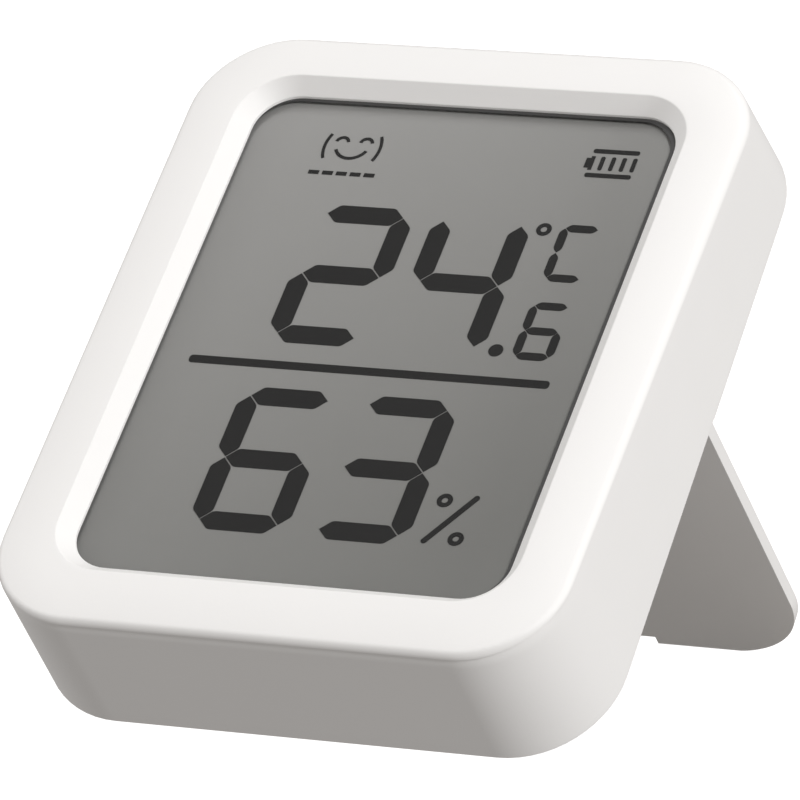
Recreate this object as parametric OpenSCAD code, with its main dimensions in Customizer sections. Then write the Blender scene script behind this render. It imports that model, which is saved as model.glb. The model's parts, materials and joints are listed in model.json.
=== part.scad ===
// Tabletop temperature and humidity sensor with a fold-out stand.
// Units are mm, plus Z is up, the display faces minus Y.
// Body coordinates: X right, Y from the back rim backwards, Z up along the back from its bottom edge.
// Face coordinates: X right, Y inwards from the front plane, Z up along the front plane.

/* [Housing] */
// Width across the back rim
body_w = 64.6; // [63:0.2:70]
// Height along the back
body_h = 79.9; // [78:0.1:88]
// Depth at the bottom edge
body_d = 18.65; // [18.4:0.05:21]
// Angle between front face and back plane in degrees
face_tilt = 3.9; // [3:0.1:4.4]
// Draft angle of the side walls in degrees
draft = 2.3; // [1.5:0.1:2.6]
// Angle by which the walls run downwards from the back to the front in degrees
droop = 1.7; // [0:0.1:2]
// Corner radius at the back rim
corner_r = 11; // [10:0.25:12]
// Wall thickness of the shell
wall = 1.7; // [1.4:0.05:1.8]
// Radius of the gentle crown of the front frame
crown_r = 29; // [22:0.5:36]
// Radius of the front outer edge
edge_r = 0.8; // [0.6:0.05:1.1]
// Depth of the front wall behind the front plane
lip_d = 2; // [1.9:0.05:2.2]

/* [Window] */
// Visible width of the display
win_w = 48.3; // [46:0.1:48.6]
// Visible height of the display
win_h = 63.75; // [62:0.05:64]
// Corner radius of the visible display
win_r = 4.6; // [3.5:0.1:6]
// Height of the window centre along the front plane
win_v = 40.1; // [39.8:0.1:40.6]
// Width of the bevel around the window
bevel_w = 1.6; // [1.2:0.1:2]
// Depth of the bevel
bevel_d = 1.65; // [1.4:0.05:1.85]

/* [Display stack] */
// Thickness of the adhesive frame
tape_t = 0.2; // [0.15:0.05:0.35]
// How far the adhesive frame shows inside the window
tape_in = 0.2; // [0:0.05:0.4]
// Thickness of the clear window
lens_t = 0.3; // [0.25:0.05:0.4]
// Overlap of window and adhesive behind the shell lip
lens_lap = 1.2; // [0.9:0.1:1.3]
// Thickness of the display segments layer
seg_t = 0.05; // [0.04:0.01:0.12]
// Thickness of each display film
film_t = 0.15; // [0.1:0.01:0.17]
// Thickness of each display glass
glass_t = 0.725; // [0.6:0.025:0.75]
// Sideways place of the display marks
mark_x = 0.26; // [-0.5:0.01:0.5]
// Upward place of the display marks
mark_v = -0.35; // [-0.5:0.01:0.5]
// Width of one big digit
digit_w = 11.15; // [9:0.05:12]
// Height of one big digit
digit_h = 18.65; // [15:0.05:19.5]
// Stroke of the big digits
stroke = 2.33; // [1.6:0.01:2.6]

/* [Stand] */
// Width of the stand
stand_w = 63; // [58:0.2:66]
// Length of the stand from its hinge axis
stand_l = 42.4; // [36:0.1:42.6]
// Thickness of the stand
stand_t = 1.55; // [1.4:0.05:1.7]
// Corner radius of the stand's foot
stand_r = 10.2; // [6:0.2:12]
// Opening angle of the stand in degrees
open_angle = 90.8; // [86:0.2:96]
// Height of the hinge axis along the back
hinge_z = 42.6; // [42.4:0.1:43.6]
// Distance of the hinge axis behind the back rim
hinge_y = 0.9; // [0.88:0.01:1]
// Diameter of the hinge pins
pin_d = 0.7; // [0.5:0.05:0.8]
// Radial clearance of the pins in the cover's knuckles
pin_gap = 0.04; // [0.02:0.01:0.08]
// Width of the nail notch in the foot
notch_w = 26.6; // [16:0.2:32]
// Depth of the nail notch in the foot
notch_d = 1.4; // [0.8:0.1:2]
// Height taken off the two edges that touch the table
edge_cut = 0.1; // [0.05:0.05:0.3]

/* [Back] */
// Thickness of the raised upper rear cover
cover_h = 1.55; // [1.2:0.05:1.8]
// Step from the body outline to the rear cover
cover_in = 0.8; // [0.5:0.1:1.2]
// Clearance of covers inside the shell
fit = 0.2; // [0.15:0.01:0.3]
// Radius of the hanging hole
key_r = 3.6; // [3:0.1:3.8]
// Radius of the hanging slot
slot_r = 1.9; // [1.5:0.1:2.2]
// Radius of the button
button_r = 3.95; // [3:0.05:4.4]
// Radial clearance of the button in its hole
button_gap = 0.1; // [0.05:0.01:0.2]
// Number of vent slots
vent_n = 5; // [3:1:5]
// Radius of each wall magnet
magnet_r = 4; // [3:0.1:4.2]

/* [Batteries] */
// Diameter of an AAA cell
cell_d = 10.2; // [9.6:0.1:10.2]
// Total length of an AAA cell
cell_l = 44.5; // [44:0.1:44.6]
// Distance between the two cell axes
cell_pitch = 11.2; // [11:0.1:11.4]
// Height of the lower cell axis along the back
cell_z = 10.8; // [10.7:0.1:11.2]
// Depth of the cell axes in front of the back rim
cell_y = 6.85; // [6.8:0.01:6.9]
// Wire radius of the contact springs
wire_r = 0.3; // [0.2:0.02:0.34]

/* [Hidden] */
$fn = 96;
// sizes to a thousandth, so that neighbouring faces meet exactly
function r3(x) = round(x * 1000) / 1000;
draft_k = tan(draft);
ct = cos(face_tilt);
st = sin(face_tilt);
// lower and upper edge of the front along the front plane
low_k = tan(draft - droop);
high_k = tan(draft + droop);
front_lo = low_k * body_d / (1 + low_k * st / ct) / ct;
front_hi = (body_h + high_k * (body_h * st / ct - body_d) / (1 - high_k * st / ct)) / ct;
face_mid = r3((front_lo + front_hi) / 2);
corner_x = r3(body_w / 2 - corner_r);
// crown profile of the front frame, radii from the corner centre and depths from the front plane
crown_a = 9;
edge_a = 82;
r2 = corner_r - body_d * draft_k;
corner_v = r3((front_hi - front_lo) / 2 - r2 - 0.1);
r1 = r2 - edge_r * (sin(edge_a) - sin(crown_a));
r0 = r1 - crown_r * sin(crown_a);
d1 = crown_r * (1 - cos(crown_a));
d2 = d1 + edge_r * (cos(crown_a) - cos(edge_a));
edge_cr = r1 - edge_r * sin(crown_a);
edge_cd = d1 + edge_r * cos(crown_a);
// how far the crown's solid reaches inwards, and outwards past the edge
deep = 42;
spread = 4;
// display stack, depths from the front plane
lens_d = lip_d + tape_t;
seg_d = lens_d + lens_t + 0.05;
film_d = seg_d + seg_t;
glass_d = film_d + film_t;
back_d = glass_d + 2 * glass_t + film_t;
lens_w = win_w + 2 * lens_lap;
lens_h = win_h + 2 * lens_lap;
lcd_w = lens_w - 0.7;
lcd_lo = win_v - win_h / 2 - 1.03;
lcd_hi = win_v + win_h / 2 + 1.03;
ledge_w = 41;
ledge_h = 2.3;
pocket_w = lens_w + 0.5;
pocket_lo = lcd_lo - 0.5;
pocket_hi = lcd_hi + 0.5;
holder_t = 0.9;
lips_d = back_d + 0.05;
holder_d = lips_d + 0.55;
// circuit board
board_w = 48;
board_lo = 43.5;
board_hi = 72.5;
board_d = 6.3;
board_t = 1;
top_d = board_d + board_t;
boss_x = body_w / 2 - 3.9;
boss_v = 62.2;
boss_d = 4.7;
boss_r = 1.75;
rib_l = 2.4;
rib_t = 1.2;
rib_x = boss_x + rib_l / 2;
arm_l = boss_x + 1.4 - pocket_w / 2 - 0.2;
arm_x = pocket_w / 2 + 0.2 + arm_l / 2;
screw_r = 0.95;
head_r = 1.7;
thread_gap = 0.02;
hole_r = 1.15;
// back
inner_w = body_w - 2 * (wall + fit);
inner_h = body_h - 2 * (wall + fit);
inner_r = corner_r - wall - fit;
stand_in = 0.8;
stand_out = stand_t - stand_in;
heel = hinge_y - 0.02;
split_z = hinge_z + 1.3;
panel_top = split_z - 0.3;
panel_t = 1.4;
clip_t = 1;
clip_x = body_w / 2 - wall - 0.9;
plug_t = 1.8;
tongue_y = 2.4;
tongue_t = 1;
tongue_w = 48;
tongue_z = 30.5;
cover_screw_x = 20;
cover_screw_z = 33;
button_x = 17;
button_z = 56;
key_z = 65;
vent_x = -19;
vent_z = 54;
magnet_x = 20.5;
magnet_z = 69.5;
magnet_t = 2;
seat_h = 2.4;
// battery compartment
cell_r = cell_d / 2;
channel_r = cell_r + 0.3;
channel_l = cell_l / 2 + 2.35;
tray_l = channel_l + 1.6;
tray_lo = cell_z - channel_r - 1;
tray_hi = cell_z + cell_pitch + channel_r + 1.2;
tray_y = 2;
ear_z = 17;
ear_l = boss_x + boss_r - tray_l + 0.3;
ear_x = tray_l - 0.3 + ear_l / 2;
ear_y = 8.4;
ear_t = 1.2;
plate_x = channel_l - 0.35;
plate_t = 0.3;
tab_low = -6.3;
tab_high = -4.85;
nub_l = 0.9;
tip_x = plate_x - 0.05;
flat_x = cell_l - tip_x;
spring_r = 2.4;
spring_n = 3;
spring_p = (plate_x - flat_x - 2 * wire_r) / spring_n;
knuckle_x = 20;
knuckle_w = 4;
pin_l = 10;
// pose of the body on the table
foot_y = hinge_y - stand_in * cos(open_angle) + stand_l * sin(open_angle);
foot_z = hinge_z - stand_in * sin(open_angle) - stand_l * cos(open_angle);
lean = atan2(foot_z, foot_y);
tip_y = hinge_y + stand_out * cos(open_angle) + stand_l * sin(open_angle);
tip_z = hinge_z + stand_out * sin(open_angle) - stand_l * cos(open_angle);
back_reach = tip_y * cos(lean) + tip_z * sin(lean);
nose_v = face_mid - corner_v - edge_cr;
nose_y = -body_d + edge_cd * ct + nose_v * st;
nose_z = nose_v * ct - edge_cd * st;
front_reach = nose_y * cos(lean) + nose_z * sin(lean) - edge_r;
mid_y = (back_reach + front_reach) / 2;

// stands the body on the table, leaning back on its stand
module placed() {
    translate([0, -mid_y, -edge_cut]) rotate([-lean, 0, 0]) children();
}

// the space under the table top
module under_table() {
    translate([-100, -150, -60]) cube([200, 300, 60]);
}

// puts face coordinates onto the tilted front plane
module in_face() {
    translate([0, -body_d, 0]) rotate([-face_tilt, 0, 0]) children();
}

module box(x0, x1, y0, y1, z0, z1) {
    translate([x0, y0, z0]) cube([x1 - x0, y1 - y0, z1 - z0]);
}

// round bar along Y
module rod(x, z, r, y0, y1) {
    translate([x, y1, z]) rotate([90, 0, 0]) cylinder(h = y1 - y0, r = r);
}

// round bar along X
module bar(y, z, r, x0, x1) {
    translate([x0, y, z]) rotate([0, 90, 0]) cylinder(h = x1 - x0, r = r);
}

module outline(w, h, r) {
    square([w - 2 * r, h], center = true);
    square([w, h - 2 * r], center = true);
    for (sx = [-1, 1]) for (sy = [-1, 1]) translate([sx * (w / 2 - r), sy * (h / 2 - r)]) circle(r);
}

// flat plate with rounded corners, thickness along Y
module plate(w, h, r, y0, y1, zc) {
    translate([0, y1, zc]) rotate([90, 0, 0]) linear_extrude(y1 - y0) outline(w, h, r);
}

// rounded block from Y 0 to minus len, drawn in by e on each side at its far end, centred on X and Z
module tapered(w, h, r, len, e) {
    for (sx = [-1, 1]) for (sz = [-1, 1])
        translate([sx * (w / 2 - r), 0, sz * (h / 2 - r)]) rotate([90, 0, 0])
            cylinder(h = len, r1 = r, r2 = r - e);
    translate([0, 0, r - h / 2]) linear_extrude(h - 2 * r)
        polygon([[-w / 2, 0], [w / 2, 0], [w / 2 - e, -len], [e - w / 2, -len]]);
    rotate([90, 0, 90]) linear_extrude(w - 2 * r, center = true)
        polygon([[0, -h / 2], [0, h / 2], [-len, h / 2 - e], [-len, e - h / 2]]);
}

// cross section of the front frame from the corner centre outwards, depth along Y
module crown_profile() {
    square([r0, deep]);
    intersection() {
        translate([r0, crown_r]) circle(crown_r);
        translate([r0, -1]) square([r1 - r0, crown_r]);
    }
    intersection() {
        translate([edge_cr, edge_cd]) circle(edge_r);
        translate([r1, 0]) square([r2 - r1, edge_cd]);
    }
    polygon([[r0, edge_cd], [r1, edge_cd], [r2, d2], [r2 + spread, d2 + spread * tan(edge_a)],
        [r2 + spread, deep], [r0, deep]]);
}

// everything behind the crowned front surface, in face coordinates
module crown() {
    translate([0, 0, face_mid]) {
        box(-corner_x, corner_x, 0, deep, -corner_v, corner_v);
        for (k = [0, 1]) rotate([0, 180 * k, 0])
            translate([corner_x, 0, 0]) linear_extrude(2 * corner_v, center = true) crown_profile();
        for (k = [0, 1]) rotate([0, -90 + 180 * k, 0])
            translate([corner_v, 0, 0]) linear_extrude(2 * corner_x, center = true) crown_profile();
        for (k = [0:3]) {
            sx = (k == 0 || k == 3) ? 1 : -1;
            sz = (k < 2) ? -1 : 1;
            translate([sx * corner_x, 0, sz * corner_v]) rotate([-90, 0, 0]) rotate([0, 0, 90 * k])
                rotate_extrude(angle = 90) crown_profile();
        }
    }
}

// front plane parts share this plate in face coordinates
module face_plate(w, lo, hi, r, y0, y1) {
    plate(w, hi - lo, r, y0, y1, (lo + hi) / 2);
}

module window_cut() {
    over = 0.5;
    rise = r3(over * bevel_w / bevel_d);
    grow = bevel_w + rise;
    translate([0, -over, win_v]) rotate([0, 0, 180])
        tapered(win_w + 2 * grow, win_h + 2 * grow, win_r + grow, bevel_d + over, grow);
    plate(win_w, win_h, win_r, 0.2, lip_d + 1, win_v);
}

// the drafted body, set in by inset on all sides, from past the back rim to past the front
module drafted(inset) {
    over = 3;
    grow = r3(over * draft_k) - inset;
    len = body_d + over + 4;
    translate([0, 0, body_h / 2]) rotate([droop, 0, 0]) translate([0, over, 0])
        tapered(body_w + 2 * grow, body_h + 2 * grow, corner_r + grow, len, r3(len * draft_k));
}

// inside of the shell up to the front wall, open at the back
module cavity() {
    intersection() {
        drafted(wall);
        in_face() box(-60, 60, lip_d, 60, -40, 140);
    }
}

module front_shell() {
    color("white") difference() {
        placed() {
            difference() {
                intersection() {
                    drafted(0);
                    in_face() crown();
                    box(-60, 60, -60, 0, -20, 140);
                }
                cavity();
                in_face() window_cut();
            }
            shell_bosses();
        }
        under_table();
    }
}

// screw bosses inside the shell and two ledges for the rear cover's hooks
module shell_bosses() {
    for (s = [-1, 1]) {
        in_face() difference() {
            union() {
                rod(s * boss_x, boss_v, boss_r, lip_d - 0.3, boss_d);
                box(s * rib_x - rib_l / 2, s * rib_x + rib_l / 2, lip_d - 0.3, boss_d,
                    boss_v - rib_t / 2, boss_v + rib_t / 2);
            }
            rod(s * boss_x, boss_v, screw_r + thread_gap, lip_d + 0.6, boss_d + 1);
        }
        difference() {
            union() {
                rod(s * boss_x, ear_z, boss_r, -body_d + 2.6, -ear_y - ear_t);
                box(s * rib_x - rib_l / 2, s * rib_x + rib_l / 2, -body_d + 2.6, -ear_y - ear_t,
                    ear_z - rib_t / 2, ear_z + rib_t / 2);
            }
            rod(s * boss_x, ear_z, screw_r + thread_gap, -14.2, 0);
        }
        box(s * 11 - 3, s * 11 + 3, -3.6, -2.6, body_h - wall - 1.2, body_h - wall + 0.5);
    }
}

module lens_tape() {
    color("black") placed() in_face() difference() {
        plate(lens_w, lens_h, win_r + lens_lap, lip_d, lens_d, win_v);
        plate(win_w - 2 * tape_in, win_h - 2 * tape_in, win_r - tape_in, lip_d - 1, lens_d + 1, win_v);
    }
}

module display_lens() {
    color("lightgrey", 0.4) placed() in_face()
        plate(lens_w, lens_h, win_r + lens_lap, lens_d, lens_d + lens_t, win_v);
}

// one segment between two points along X or Z, with pointed ends
module stroke_x(x0, x1, z, t) {
    h = t / 2;
    polygon([[x0, z], [x0 + h, z + h], [x1 - h, z + h], [x1, z], [x1 - h, z - h], [x0 + h, z - h]]);
}

module stroke_z(x, z0, z1, t) {
    h = t / 2;
    polygon([[x, z0], [x + h, z0 + h], [x + h, z1 - h], [x, z1], [x - h, z1 - h], [x - h, z0 + h]]);
}

// seven segment digit, on = flags for top, upper right, lower right, bottom, lower left, upper left, middle
module digit(x, z, w, h, t, g, on) {
    xl = x + t / 2;
    xr = x + w - t / 2;
    zb = z + t / 2;
    zm = z + h / 2;
    zt = z + h - t / 2;
    if (on[0] == 1) stroke_x(xl + g, xr - g, zt, t);
    if (on[1] == 1) stroke_z(xr, zm + g, zt - g, t);
    if (on[2] == 1) stroke_z(xr, zb + g, zm - g, t);
    if (on[3] == 1) stroke_x(xl + g, xr - g, zb, t);
    if (on[4] == 1) stroke_z(xl, zb + g, zm - g, t);
    if (on[5] == 1) stroke_z(xl, zm + g, zt - g, t);
    if (on[6] == 1) stroke_x(xl + g, xr - g, zm, t);
}

module ring2(x, z, ro, ri) {
    translate([x, z]) difference() {
        circle(ro);
        circle(ri);
    }
}

// part of a ring between two angles below 180 degrees apart
module arc2(x, z, r, t, a0, a1) {
    am = (a0 + a1) / 2;
    hw = (a1 - a0) / 2;
    b = r + t;
    translate([x, z]) rotate(am) intersection() {
        difference() {
            circle(r + t / 2);
            circle(r - t / 2);
        }
        polygon([[0, 0], [b * 1.2, -b * 1.2 * tan(hw)], [b * 1.2, b * 1.2 * tan(hw)]]);
    }
}

module lcd_marks() {
    g = 0.1;
    digit(-13.4, 39.93, digit_w, digit_h, stroke, g, [1, 1, 0, 1, 1, 0, 1]);
    digit(-0.02, 39.93, digit_w, digit_h, stroke, g, [0, 1, 1, 0, 0, 1, 1]);
    digit(-13.4, 15.23, digit_w, digit_h, stroke, g, [1, 0, 1, 1, 1, 1, 1]);
    digit(-0.02, 15.23, digit_w, digit_h, stroke, g, [1, 1, 1, 1, 0, 0, 1]);
    digit(14.36, 39.95, 4.64, 7.62, 0.97, 0.06, [1, 0, 1, 1, 1, 1, 1]);
    digit(14.36, 50.37, 4.64, 7.63, 0.97, 0.06, [1, 0, 0, 1, 1, 1, 0]);
    translate([12.54, 40.9]) circle(0.8);
    ring2(12.54, 57.15, 0.84, 0.36);
    ring2(13.5, 21.3, 0.86, 0.34);
    ring2(16.28, 16.6, 0.86, 0.34);
    translate([14.89, 18.96]) rotate(-33.7) {
        square([0.66, 7], center = true);
        for (s = [-1, 1]) translate([0, 3.5 * s]) circle(0.33);
    }
    translate([-0.5, 36.93]) outline(40.58, 1, 0.4);
    // comfort face
    arc2(-13.86, 67.1, 0.68, 0.36, 10, 170);
    arc2(-11.1, 67.1, 0.68, 0.36, 10, 170);
    arc2(-12.5, 66.9, 1.92, 0.36, 205, 335);
    arc2(-11.6, 66.5, 4.1, 0.34, 156, 204);
    arc2(-13.4, 66.5, 4.1, 0.34, -24, 24);
    // comfort level bars
    for (k = [0:4]) translate([-15.7 + 1.6 * k, 62.85]) square([1.2, 0.5], center = true);
    // battery sign
    translate([17.18, 68.07]) outline(5.2, 0.55, 0.24);
    translate([17.18, 64.8]) outline(5.2, 0.55, 0.24);
    for (k = [0:3]) translate([15.97 + 1.2 * k, 66.43]) outline(0.46, 1.84, 0.2);
    translate([14.85, 66.43]) square([0.42, 1.84], center = true);
    translate([14.39, 66.43]) square([0.5, 1.3], center = true);
}

module lcd_segments() {
    color([0.13, 0.13, 0.13]) placed() in_face()
        translate([mark_x, film_d, mark_v]) rotate([90, 0, 0]) linear_extrude(seg_t) lcd_marks();
}

module lcd_front_film() {
    color([0.55, 0.56, 0.54]) placed() in_face()
        box(-lcd_w / 2 + 0.4, lcd_w / 2 - 0.4, film_d, glass_d, lcd_lo + 0.3, lcd_hi - 0.3);
}

module lcd_front_glass() {
    color([0.7, 0.75, 0.72]) placed() in_face() {
        box(-lcd_w / 2, lcd_w / 2, glass_d, glass_d + glass_t, lcd_lo, lcd_hi);
        box(-ledge_w / 2, ledge_w / 2, glass_d, glass_d + glass_t, lcd_hi - 0.5, lcd_hi + ledge_h);
    }
}

module lcd_rear_glass() {
    color([0.7, 0.75, 0.72]) placed() in_face()
        box(-lcd_w / 2, lcd_w / 2, glass_d + glass_t, glass_d + 2 * glass_t, lcd_lo, lcd_hi);
}

module lcd_reflector() {
    color([0.75, 0.76, 0.74]) placed() in_face()
        box(-lcd_w / 2 + 0.4, lcd_w / 2 - 0.4, glass_d + 2 * glass_t, back_d, lcd_lo + 0.3, lcd_hi - 0.3);
}

module display_holder() {
    color("dimgrey") placed() in_face() difference() {
        union() {
            face_plate(pocket_w + 2 * holder_t, pocket_lo - holder_t, pocket_hi + holder_t, 2,
                lip_d, holder_d);
            box(-ledge_w / 2 - 1.4, ledge_w / 2 + 1.4, lip_d, holder_d, pocket_hi - 2, lcd_hi + ledge_h + 1.3);
            for (s = [-1, 1])
                box(s * arm_x - arm_l / 2, s * arm_x + arm_l / 2, boss_d, board_d,
                    boss_v - 2.3, boss_v + 2.3);
        }
        face_plate(pocket_w, pocket_lo, pocket_hi, 1, lip_d - 1, lips_d);
        box(-ledge_w / 2 - 0.5, ledge_w / 2 + 0.5, lip_d - 1, holder_d + 1,
            lcd_hi + 0.2, lcd_hi + ledge_h + 0.4);
        box(-lcd_w / 2 + 2, lcd_w / 2 - 2, lip_d, holder_d + 1, lcd_lo + 2.5, lcd_hi - 2);
        for (s = [-1, 1]) rod(s * boss_x, boss_v, hole_r, 0, board_d + 1);
    }
}

module zebra_strip() {
    color([0.8, 0.5, 0.55]) placed() in_face()
        box(-ledge_w / 2 + 0.5, ledge_w / 2 - 0.5, glass_d + glass_t, board_d,
            lcd_hi + 0.35, lcd_hi + ledge_h - 0.2);
}

module circuit_board() {
    color("green") placed() in_face() difference() {
        union() {
            face_plate(board_w, board_lo, board_hi, 1.5, board_d, top_d);
            box(-ledge_w / 2 - 1, ledge_w / 2 + 1, board_d, top_d, board_hi - 2.5, lcd_hi + ledge_h + 0.4);
            box(-boss_x - 1.5, boss_x + 1.5, board_d, top_d, boss_v - 2.3, boss_v + 2.3);
        }
        for (s = [-1, 1]) rod(s * boss_x, boss_v, hole_r, 0, 20);
        box(-15.2, -14.2, 0, 20, 50, 58);
        box(-22, -14.2, 0, 20, 57.4, 58.4);
    }
}

module chip(x, v, w, h, t) {
    box(x - w / 2, x + w / 2, top_d, top_d + t, v - h / 2, v + h / 2);
}

module radio_chip() {
    color([0.15, 0.15, 0.16]) placed() in_face() chip(-7, 64.5, 5, 5, 0.9);
}

module chip_antenna() {
    color("ivory") placed() in_face() chip(12, 73.4, 3.2, 1.6, 0.7);
}

module crystal() {
    color("silver") placed() in_face() chip(-12.6, 64.5, 3.2, 2.5, 0.8);
}

module memory_chip() {
    color([0.15, 0.15, 0.16]) placed() in_face() chip(4, 51, 5, 4, 1.5);
}

module passives() {
    color("tan") placed() in_face() {
        for (k = [0:4]) chip(-10 + 2.2 * k, 59.4, 1, 1.6, 0.5);
        for (k = [0:3]) chip(-1.5, 62 + 1.6 * k, 1.6, 0.8, 0.5);
        for (k = [0:2]) chip(1 + 2.4 * k, 47, 1.2, 2, 0.8);
    }
}

module sensor_chip() {
    color([0.2, 0.2, 0.2]) placed() in_face() difference() {
        chip(vent_x, vent_z, 2.5, 2.5, 0.9);
        rod(vent_x, vent_z, 0.5, top_d + 0.5, top_d + 3);
    }
}

module sensor_foam() {
    color([0.3, 0.3, 0.32]) placed() intersection() {
        in_face() difference() {
            box(vent_x - 4, vent_x + 4, top_d, 20, vent_z - 3.2, vent_z + 3.2);
            box(vent_x - 2.3, vent_x + 2.3, top_d - 1, 21, vent_z - 2, vent_z + 2);
        }
        box(-50, 50, -30, -plug_t - 0.03, 0, 100);
    }
}

// height of the button centre along the front plane at the board
button_v = (button_z + top_d * st) / ct;

module tact_switch() {
    color([0.25, 0.25, 0.26]) placed() in_face() difference() {
        box(button_x - 3, button_x + 3, top_d, top_d + 3, button_v - 3, button_v + 3);
        rod(button_x, button_v, 1.9, top_d + 1.3, top_d + 5);
    }
}

module switch_plunger() {
    color("black") placed() in_face() rod(button_x, button_v, 1.7, top_d + 2, top_d + 3.6);
}

module button_cap() {
    color("gainsboro") placed() difference() {
        union() {
            rod(button_x, button_z, button_r, -plug_t - 0.5, cover_h - 0.15);
            rod(button_x, button_z, button_r + 0.8, -plug_t - 1.1, -plug_t - 0.15);
            rod(button_x, button_z, 1.5, -3.72, -plug_t - 0.5);
        }
        rod(button_x, button_z, button_r - 1, cover_h - 0.45, cover_h + 1);
    }
}

module vent_slot(x) {
    translate([x, 8, vent_z]) rotate([90, 0, 0]) linear_extrude(16) {
        square([1.2, 7.8], center = true);
        for (s = [-1, 1]) translate([0, 3.9 * s]) circle(0.6);
    }
}

module rear_cover() {
    color("white") placed() difference() {
        union() {
            intersection() {
                plate(stand_w, body_h - 2 * cover_in, corner_r - cover_in, 0, cover_h, body_h / 2);
                box(-60, 60, -10, 10, split_z, 120);
            }
            intersection() {
                plate(inner_w, inner_h, inner_r, -plug_t, 0, body_h / 2);
                box(-60, 60, -10, 10, panel_top + 0.15, 120);
            }
            box(-tongue_w / 2, tongue_w / 2, -tongue_y - tongue_t, -plug_t, panel_top + 0.15, panel_top + 2.2);
            box(-tongue_w / 2, tongue_w / 2, -tongue_y - tongue_t, -tongue_y, tongue_z, panel_top + 1);
            for (s = [-1, 1]) {
                rod(s * magnet_x, magnet_z, magnet_r + 1, -plug_t - seat_h, -plug_t);
                box(s * 11 - 2.5, s * 11 + 2.5, -5, -plug_t, body_h - wall - 2.6, body_h - wall - 1.4);
                box(s * 11 - 2.5, s * 11 + 2.5, -5, -3.8, body_h - wall - 2.6, body_h - wall - 0.5);
            }
        }
        for (s = [-1, 1]) {
            rod(s * magnet_x, magnet_z, magnet_r + 0.05, -20, -plug_t);
            rod(s * cover_screw_x, cover_screw_z, hole_r, -20, 0);
        }
        rod(button_x, button_z, button_r + button_gap, -10, 10);
        rod(0, key_z, key_r, -10, 10);
        rod(0, key_z + 6, slot_r, -10, 10);
        box(-slot_r, slot_r, -10, 10, key_z, key_z + 6);
        for (k = [0:vent_n - 1]) vent_slot(vent_x + 2.4 * (k - (vent_n - 1) / 2));
    }
}

module magnet(s) {
    color("silver") placed() rod(s * magnet_x, magnet_z, magnet_r, -plug_t - magnet_t, -plug_t);
}

module magnet_left() {
    magnet(-1);
}

module magnet_right() {
    magnet(1);
}

module battery_tray() {
    color([0.25, 0.25, 0.26]) placed() difference() {
        union() {
            intersection() {
                box(-tray_l, tray_l, -20, -tray_y, tray_lo, tray_hi);
                in_face() box(-60, 60, holder_d + 0.1, 60, -40, 140);
            }
            for (s = [-1, 1]) {
                box(s * ear_x - ear_l / 2, s * ear_x + ear_l / 2, -ear_y - ear_t, -ear_y,
                    ear_z - 2.2, ear_z + 2.2);
                rod(s * cover_screw_x, cover_screw_z, 2.3, -10, -tongue_y - tongue_t);
                box(s * cover_screw_x - 2.3, s * cover_screw_x + 2.3, -10, -tongue_y - tongue_t,
                    tray_hi - 1, cover_screw_z);
            }
        }
        for (z = [cell_z, cell_z + cell_pitch]) {
            bar(-cell_y, z, channel_r, -channel_l, channel_l);
            box(-channel_l, channel_l, -cell_y, 1, z - channel_r, z + channel_r);
            box(0, tray_l + 2, -cell_y - 0.75, 0, z - 1.1, z + 1.1);
            box(plate_x - 0.1, channel_l, -11.6, 1, z - 4.5, z + 4.5);
        }
        box(-channel_l, -plate_x + 0.1, -11.6, 1, cell_z - 4.5, cell_z + cell_pitch + 4.5);
        for (s = [-1, 1]) {
            rod(s * boss_x, ear_z, hole_r, -20, 0);
            rod(s * cover_screw_x, cover_screw_z, screw_r + thread_gap, -9, 0);
        }
    }
}

// cell with its positive end towards plus X
module cell() {
    bar(0, 0, cell_r, -flat_x, tip_x - nub_l);
    bar(0, 0, 1.9, tip_x - nub_l, tip_x);
}

module cell_lower() {
    color([0.3, 0.35, 0.3]) placed() translate([0, -cell_y, cell_z]) cell();
}

module cell_upper() {
    color([0.3, 0.35, 0.3]) placed() translate([0, -cell_y, cell_z + cell_pitch]) rotate([0, 180, 0]) cell();
}

module contact_bridge() {
    color("silver") placed()
        box(-plate_x - plate_t, -plate_x, -11.2, -3, cell_z - 4, cell_z + cell_pitch + 4);
}

module end_contact(z, y0) {
    box(plate_x, plate_x + plate_t, -11.2, -3, z - 4, z + 4);
    box(plate_x, tray_l + 1.1, y0 - 0.3, y0, z - 1, z + 1);
}

module contact_positive() {
    color("silver") placed() end_contact(cell_z, tab_low);
}

module contact_negative() {
    color("silver") placed() end_contact(cell_z + cell_pitch, tab_high);
}

// coil spring as one unbroken tube along a helix, axis along Z from 0
module coil() {
    turn = 16;
    sides = 6;
    last = turn * spring_n;
    climb = atan(spring_p / (2 * PI * spring_r));
    points = [for (i = [0:last]) for (j = [0:sides - 1])
        let (a = 360 * i / turn, b = 360 * j / sides, u = spring_r + wire_r * cos(b), w = wire_r * sin(b))
        [u * cos(a) + w * sin(climb) * sin(a), u * sin(a) - w * sin(climb) * cos(a),
            spring_p * i / turn + w * cos(climb)]];
    skin = [for (i = [0:last - 1]) for (j = [0:sides - 1]) for (half = [0, 1])
        let (a = i * sides + j, b = i * sides + (j + 1) % sides)
        half == 0 ? [a, b, b + sides] : [a, b + sides, a + sides]];
    first_cap = [for (j = [1:sides - 2]) [0, j + 1, j]];
    last_cap = [for (j = [1:sides - 2]) [last * sides, last * sides + j, last * sides + j + 1]];
    polyhedron(points, concat(skin, first_cap, last_cap));
}

module spring_lower() {
    color("silver") placed() translate([-plate_x + wire_r, -cell_y, cell_z]) rotate([0, 90, 0]) coil();
}

module spring_upper() {
    color("silver") placed() translate([plate_x - wire_r, -cell_y, cell_z + cell_pitch])
        rotate([0, -90, 0]) coil();
}

wire_x = tray_l + 0.75;
lead_r = 0.5;
bend_r = 1.5;
pad_y = -body_d + top_d * ct + 47 * st;
pad_z = 47 * ct - top_d * st;

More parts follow.
